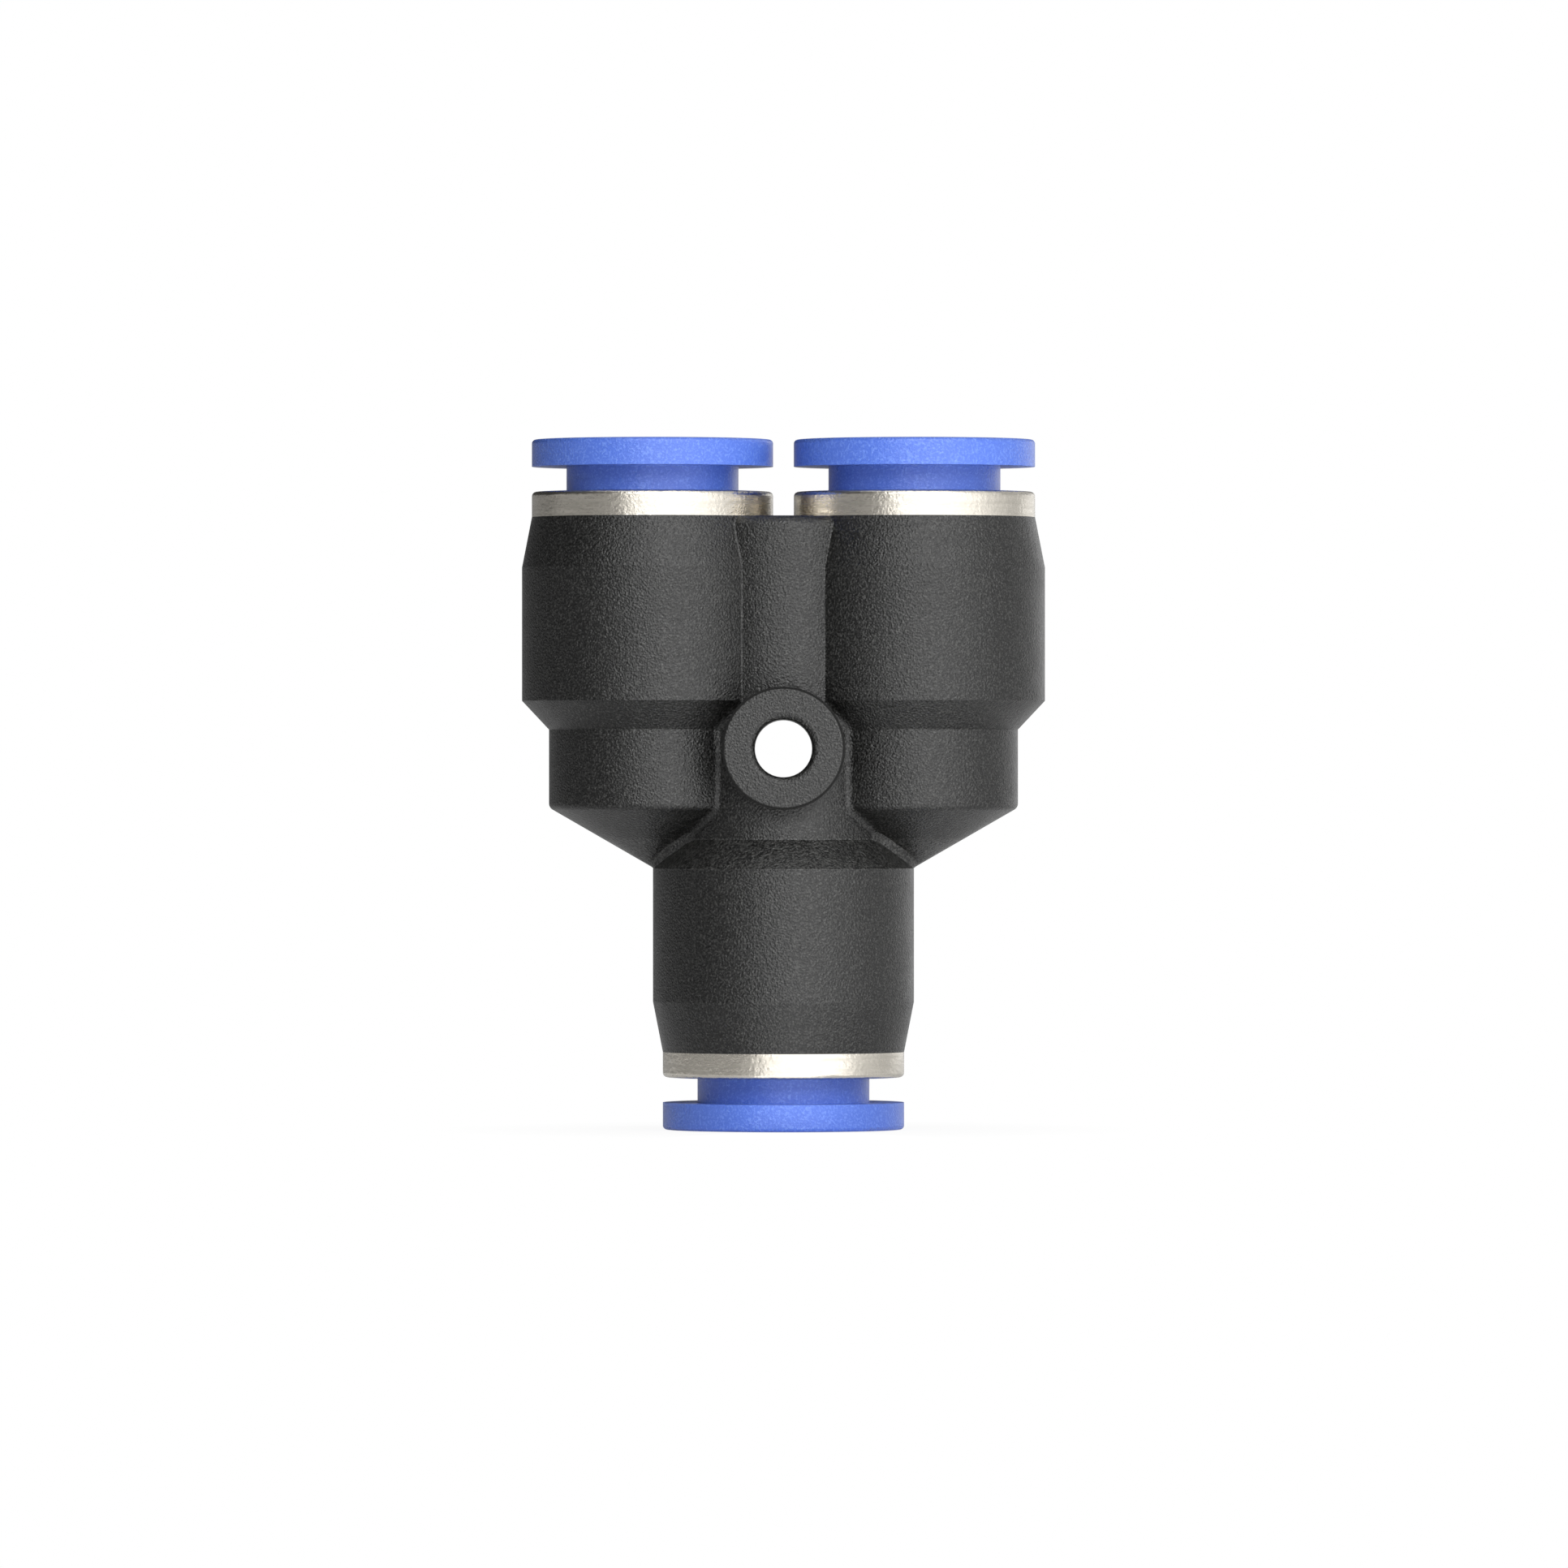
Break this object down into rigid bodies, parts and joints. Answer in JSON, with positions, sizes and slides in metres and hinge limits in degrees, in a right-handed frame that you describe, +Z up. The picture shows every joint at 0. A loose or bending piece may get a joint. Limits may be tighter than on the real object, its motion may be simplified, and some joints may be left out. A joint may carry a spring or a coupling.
{
  "type": "push-in tubing y connector",
  "caption": "Push-in Y connector for 8 mm pneumatic tube: black body with a through mounting boss, plated end rings and blue release collars.",
  "frame": {"origin": "centre of the lower release collar's end face, under the middle of the part", "axes": "+Z up along the lower port to the two upper ports, +X across the two upper ports to the right in front view, -Y to the front"},
  "size_m": [0.029, 0.0144, 0.0383],
  "materials": {
    "body_plastic": "black moulded plastic with a fine spark-eroded grain",
    "collar_plastic": "smooth satin blue acetal",
    "plated_brass": "turned brass with bright nickel plating",
    "spring_steel": "stamped stainless spring strip",
    "backup_plastic": "natural white acetal",
    "seal_rubber": "smooth black nitrile"
  },
  "bodies": {
    "housing": {"body": "body_plastic", "end_ring_lower": "plated_brass", "end_ring_left": "plated_brass", "end_ring_right": "plated_brass", "grip_claw_lower": "spring_steel", "grip_claw_left": "spring_steel", "grip_claw_right": "spring_steel", "backup_ring_lower": "backup_plastic", "backup_ring_left": "backup_plastic", "backup_ring_right": "backup_plastic", "tube_seal_lower": "seal_rubber", "tube_seal_left": "seal_rubber", "tube_seal_right": "seal_rubber"},
    "collar_lower": {"release_collar_lower": "collar_plastic"},
    "collar_left": {"release_collar_left": "collar_plastic"},
    "collar_right": {"release_collar_right": "collar_plastic"}
  },
  "joints": [
    {"name": "release_lower", "type": "slide", "parent": "housing", "child": "collar_lower", "axis": [0, 0, 1], "range_m": [0, 0.00135], "stiffness_N_per_m": 1500, "springref_m": -0.0002, "deforming": ["grip_claw_lower"]},
    {"name": "release_left", "type": "slide", "parent": "housing", "child": "collar_left", "axis": [0, 0, -1], "range_m": [0, 0.00135], "stiffness_N_per_m": 1500, "springref_m": -0.0002, "deforming": ["grip_claw_left"]},
    {"name": "release_right", "type": "slide", "parent": "housing", "child": "collar_right", "axis": [0, 0, -1], "range_m": [0, 0.00135], "stiffness_N_per_m": 1500, "springref_m": -0.0002, "deforming": ["grip_claw_right"]}
  ]
}
